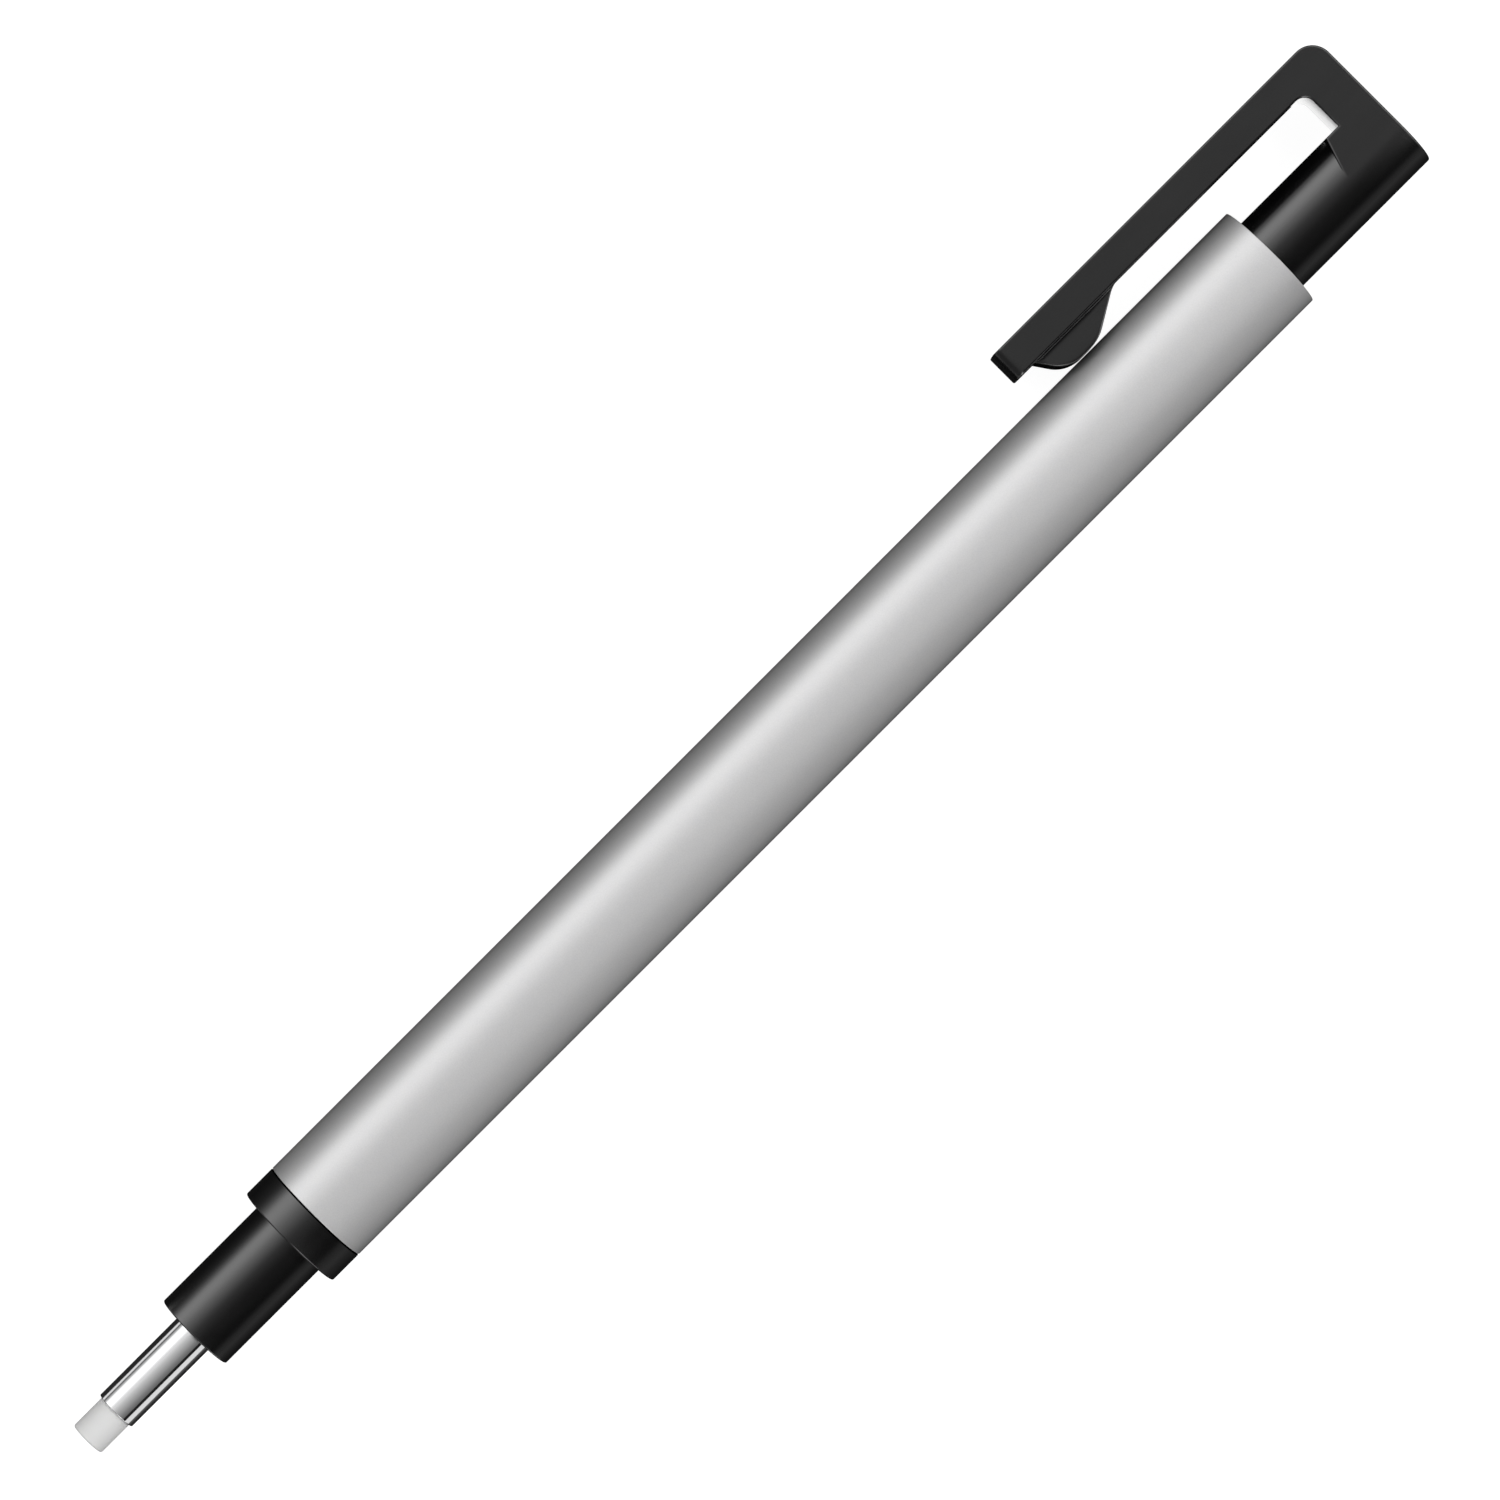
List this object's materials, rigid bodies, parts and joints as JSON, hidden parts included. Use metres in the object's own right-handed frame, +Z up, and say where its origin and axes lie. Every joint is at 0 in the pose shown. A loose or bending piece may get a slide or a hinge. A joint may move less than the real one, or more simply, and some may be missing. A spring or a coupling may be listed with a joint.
{
  "type": "pencil eraser",
  "caption": "Pen-type stick eraser: slim satin silver barrel, black nose, polished guide pipe, and a black knock knob with a one-piece pocket clip.",
  "frame": {"origin": "on the surface that the pen lies on, under the middle of its box", "axes": "+X along the pen towards the knob, +Y towards the clip's side, +Z up; the pen lies on its barrel and on the lower edge of its clip"},
  "size_m": [0.12, 0.0124, 0.0079],
  "materials": {
    "eraser": "matte white vinyl",
    "pipe_chrome": "polished",
    "ring_rubber": "matte",
    "nose_black": "semi-gloss black",
    "chuck_brass": "turned",
    "sleeve_metal": "drawn",
    "spring_steel": "bright wire",
    "tube_plastic": "natural moulded plastic",
    "barrel_silver": "satin silver metallic paint",
    "knob_black": "semi-gloss black"
  },
  "bodies": {
    "barrel": {"barrel": "barrel_silver", "nose_cap": "nose_black", "guide_pipe": "pipe_chrome", "friction_ring": "ring_rubber", "clutch_sleeve": "sleeve_metal", "return_spring": "spring_steel"},
    "clutch_ring": {"clutch_ring": "chuck_brass"},
    "carriage": {"chuck": "chuck_brass", "core_tube": "tube_plastic"},
    "knob": {"clip_knob": "knob_black"},
    "core": {"core": "eraser"}
  },
  "joints": [
    {"name": "knock_slide", "type": "slide", "parent": "barrel", "child": "carriage", "axis": [-1, 0, 0], "range_m": [0, 0.0035], "stiffness_N_per_m": 600, "springref_m": -0.002, "deforming": ["return_spring"]},
    {"name": "ring_slide", "type": "slide", "parent": "barrel", "child": "clutch_ring", "axis": [-1, 0, 0], "range_m": [0, 0.0012]},
    {"name": "clip_swivel", "type": "hinge", "parent": "carriage", "child": "knob", "pos_m": [0.05, -0.00225, 0.00395], "axis": [1, 0, 0], "continuous": true},
    {"name": "core_feed", "type": "slide", "parent": "barrel", "child": "core", "axis": [-1, 0, 0], "range_m": [-0.0026, 0.02]}
  ],
  "couplings": [
    {"joint": "ring_slide", "follows": "knock_slide", "ratio": 0.3428}
  ]
}
